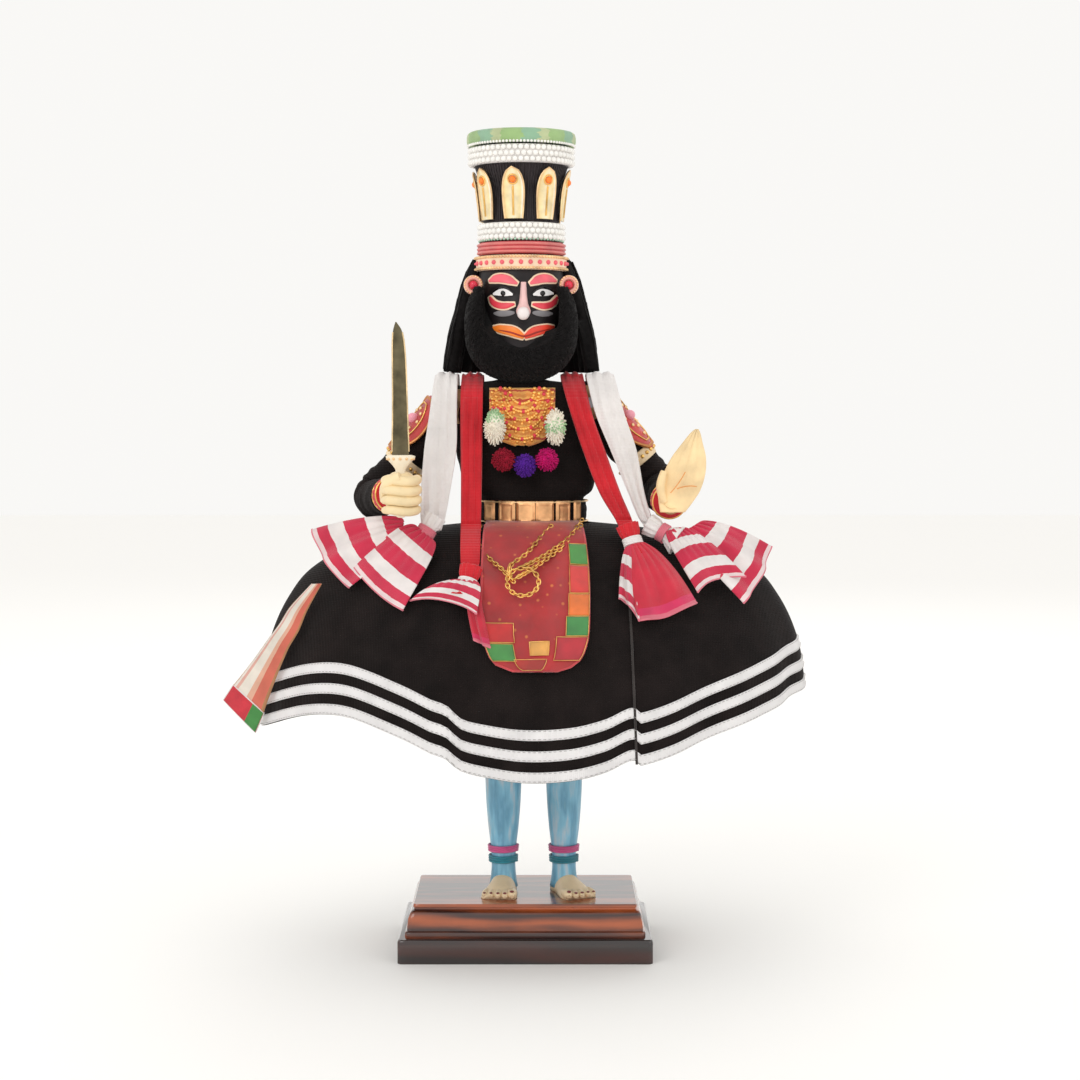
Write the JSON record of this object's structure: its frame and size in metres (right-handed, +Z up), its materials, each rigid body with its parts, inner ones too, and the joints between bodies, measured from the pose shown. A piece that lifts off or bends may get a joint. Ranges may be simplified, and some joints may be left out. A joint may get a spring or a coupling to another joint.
{
  "type": "costumed dance puppet on a wooden stand",
  "caption": "Standing display doll in a wide bell skirt with tall crown, stoles, open hand and drawn sword, fixed to a moulded wooden base; head turns and arms lift",
  "frame": {"origin": "centre of the base's underside, where it stands on a shelf", "axes": "+Z up along the figure, -Y towards the viewer of the face, +X to that viewer's right"},
  "size_m": [0.2886, 0.1692, 0.407],
  "materials": {
    "polished_wood": "polished",
    "dark_wood": "high gloss varnish",
    "carved_wood": "plain sanded",
    "painted_face": "painted black with coloured markings",
    "painted_cream": "painted cream",
    "painted_legs": "painted pale blue with cream feet",
    "black_cloth": "plain cotton",
    "black_wool": "teased wool",
    "white_cloth": "soft cotton",
    "red_cloth": "soft cotton",
    "red_satin": "satin with gilt thread",
    "white_tape": "woven tape",
    "patch_cloth": "patchwork brocade",
    "stuffing": "stuffed cotton",
    "green_wool": "fluffy wool",
    "purple_wool": "fluffy wool",
    "striped_cloth": "striped gathered cotton",
    "gilt": "bright gilt",
    "gilt_card": "gilt card",
    "pearl": "pearl beads",
    "green_band": "green braid",
    "pink_band": "pink braid",
    "blue_band": "blue braid",
    "steel": "plain",
    "grey_blade": "dull"
  },
  "bodies": {
    "stand": {"base_plinth": "dark_wood", "base_block": "polished_wood", "base_screws": "steel", "leg_screws": "steel", "left_leg": "painted_legs", "right_leg": "painted_legs", "anklets_low": "blue_band", "anklets_high": "pink_band", "torso_core": "carved_wood", "jacket": "black_cloth", "shoulder_nails": "steel", "neck_dowel": "carved_wood", "skirt": "black_cloth", "hem_tapes": "white_tape", "skirt_padding": "stuffing", "waist_band": "black_cloth", "belt_plates": "gilt", "apron": "red_satin", "apron_borders": "patch_cloth", "red_stole": "red_cloth", "white_stole": "white_cloth", "red_bindings": "white_cloth", "red_flares": "striped_cloth", "white_bindings": "red_cloth", "white_flares": "striped_cloth", "side_ribbon": "striped_cloth", "ribbon_patch": "patch_cloth", "necklace_bib": "red_satin", "green_tufts": "green_wool", "wool_tufts": "purple_wool", "waist_chain": "gilt", "chain_ring": "gilt"},
    "head": {"head_core": "painted_face", "nose_ball": "painted_cream", "beard": "black_wool", "hair": "black_wool", "ear_discs": "gilt", "forehead_band": "gilt_card", "crown_core": "painted_face", "crown_red_band": "pink_band", "pearl_band_low": "pearl", "pearl_band_top": "pearl", "crown_green_ring": "green_band", "crown_cap": "gilt_card", "crown_petals": "gilt_card"},
    "right_arm": {"right_arm_core": "carved_wood", "right_sleeve": "black_cloth", "right_armlet": "gilt_card", "right_cuff": "red_cloth", "right_shoulder_boss": "red_satin", "right_fist": "painted_cream"},
    "left_arm": {"left_arm_core": "carved_wood", "left_sleeve": "black_cloth", "left_armlet": "gilt_card", "left_cuff": "red_cloth", "left_shoulder_boss": "red_satin", "left_hand": "painted_cream"},
    "sword": {"sword_hilt": "painted_cream", "sword_blade": "grey_blade"}
  },
  "joints": [
    {"name": "head_turn", "type": "hinge", "parent": "stand", "child": "head", "pos_m": [-0.002, 0, 0.29], "axis": [0, 0, 1], "range_deg": [-20, 20]},
    {"name": "right_arm_lift", "type": "hinge", "parent": "stand", "child": "right_arm", "pos_m": [-0.036, 0, 0.272], "axis": [0, 1, 0], "range_deg": [0, 25]},
    {"name": "left_arm_lift", "type": "hinge", "parent": "stand", "child": "left_arm", "pos_m": [0.032, 0, 0.274], "axis": [0, -1, 0], "range_deg": [0, 25]},
    {"name": "sword_draw", "type": "slide", "parent": "right_arm", "child": "sword", "axis": [0, 0, 1], "range_m": [0, 0.024]}
  ]
}
